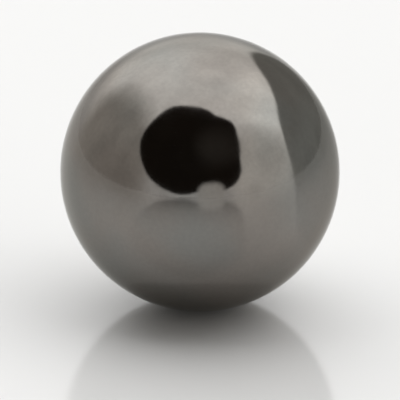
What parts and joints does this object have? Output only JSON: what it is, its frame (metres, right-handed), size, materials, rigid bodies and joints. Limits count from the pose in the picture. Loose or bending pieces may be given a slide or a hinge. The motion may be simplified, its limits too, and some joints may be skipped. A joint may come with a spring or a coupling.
{
  "type": "sphere magnet",
  "caption": "Small solid ball magnet with a mirror-bright dark plating, magnetised through its centre, that clings at its poles to steel or to other magnets.",
  "frame": {"origin": "centre of the ball", "axes": "+Z along the magnetic axis, towards the north pole, and up as in the picture; X and Y along the rows of the square stack that the ball comes from, so neighbours touch it at the six points where the axes leave it"},
  "size_m": [0.005, 0.005, 0.005],
  "materials": {
    "black_nickel": "polished"
  },
  "bodies": {
    "root": {"sphere_magnet": "black_nickel"}
  },
  "joints": []
}
